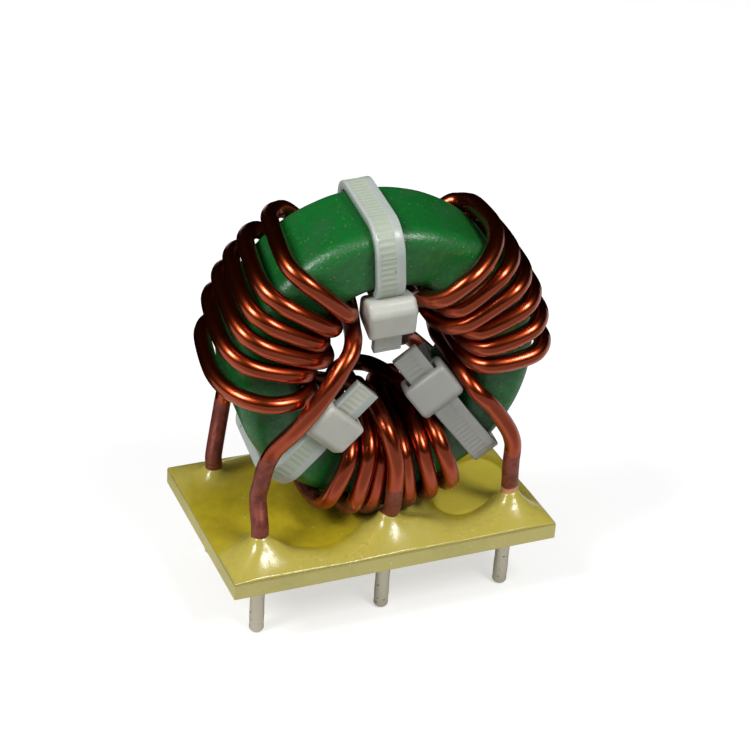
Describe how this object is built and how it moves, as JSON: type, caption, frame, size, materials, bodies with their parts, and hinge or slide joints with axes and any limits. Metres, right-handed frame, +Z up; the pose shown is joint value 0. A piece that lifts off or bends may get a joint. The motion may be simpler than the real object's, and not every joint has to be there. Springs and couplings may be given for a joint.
{
  "type": "toroidal inductor",
  "caption": "Board-mounted toroidal choke: coated ring core set upright, enamelled copper windings parted by nylon cable ties, potted with epoxy onto a base plate with pins.",
  "frame": {"origin": "centre of the pin grid, on the underside of the base plate", "axes": "+Z up, away from the pins; +X along the pin rows, which is the plate's long side; +Y from the front row of pins to the back row"},
  "size_m": [0.0324, 0.02, 0.0401],
  "materials": {
    "core_coating": "satin epoxy coating over a powdered iron ring",
    "enamelled_wire": "gloss enamel over copper, tinned at the ends",
    "nylon": "translucent natural nylon",
    "plate_laminate": "bare glass-epoxy laminate",
    "potting_epoxy": "clear amber epoxy, glossy"
  },
  "bodies": {
    "root": {"core": "core_coating", "winding_left": "enamelled_wire", "winding_right": "enamelled_wire", "winding_bottom": "enamelled_wire", "cable_tie_top": "nylon", "cable_tie_left": "nylon", "cable_tie_right": "nylon", "base_plate": "plate_laminate", "epoxy": "potting_epoxy"}
  },
  "joints": []
}
